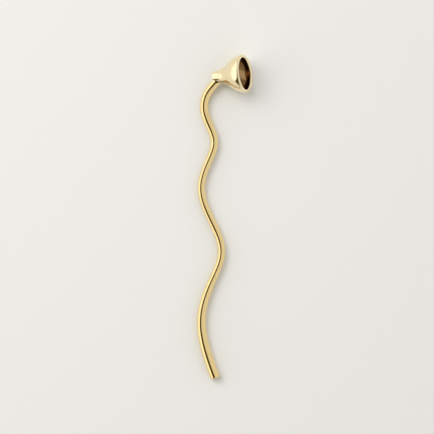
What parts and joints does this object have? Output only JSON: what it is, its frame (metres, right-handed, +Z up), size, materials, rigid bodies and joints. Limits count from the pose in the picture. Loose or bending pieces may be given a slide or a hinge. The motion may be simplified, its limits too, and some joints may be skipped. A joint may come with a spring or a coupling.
{
  "type": "candle snuffer",
  "caption": "Candle snuffer with a flared bell and thick rounded lip, brazed at an angle to a long wavy tapered handle, lying at rest on its side.",
  "frame": {"origin": "centre of the whole part's footprint on the table that it lies on, at table height", "axes": "+Z up off the table; +Y along the handle from its tail towards the bell; +X the way the bell's mouth faces"},
  "size_m": [0.0436, 0.2536, 0.0286],
  "materials": {
    "polished_brass": "mirror polished, lacquered",
    "turned_brass": "as turned, slightly dull",
    "braze": "dressed and polished with the handle"
  },
  "bodies": {
    "root": {"bell": "polished_brass", "neck_boss": "polished_brass", "bell_screw": "turned_brass", "handle_rod": "polished_brass", "joint_stud": "turned_brass", "braze_fillet": "braze"}
  },
  "joints": []
}
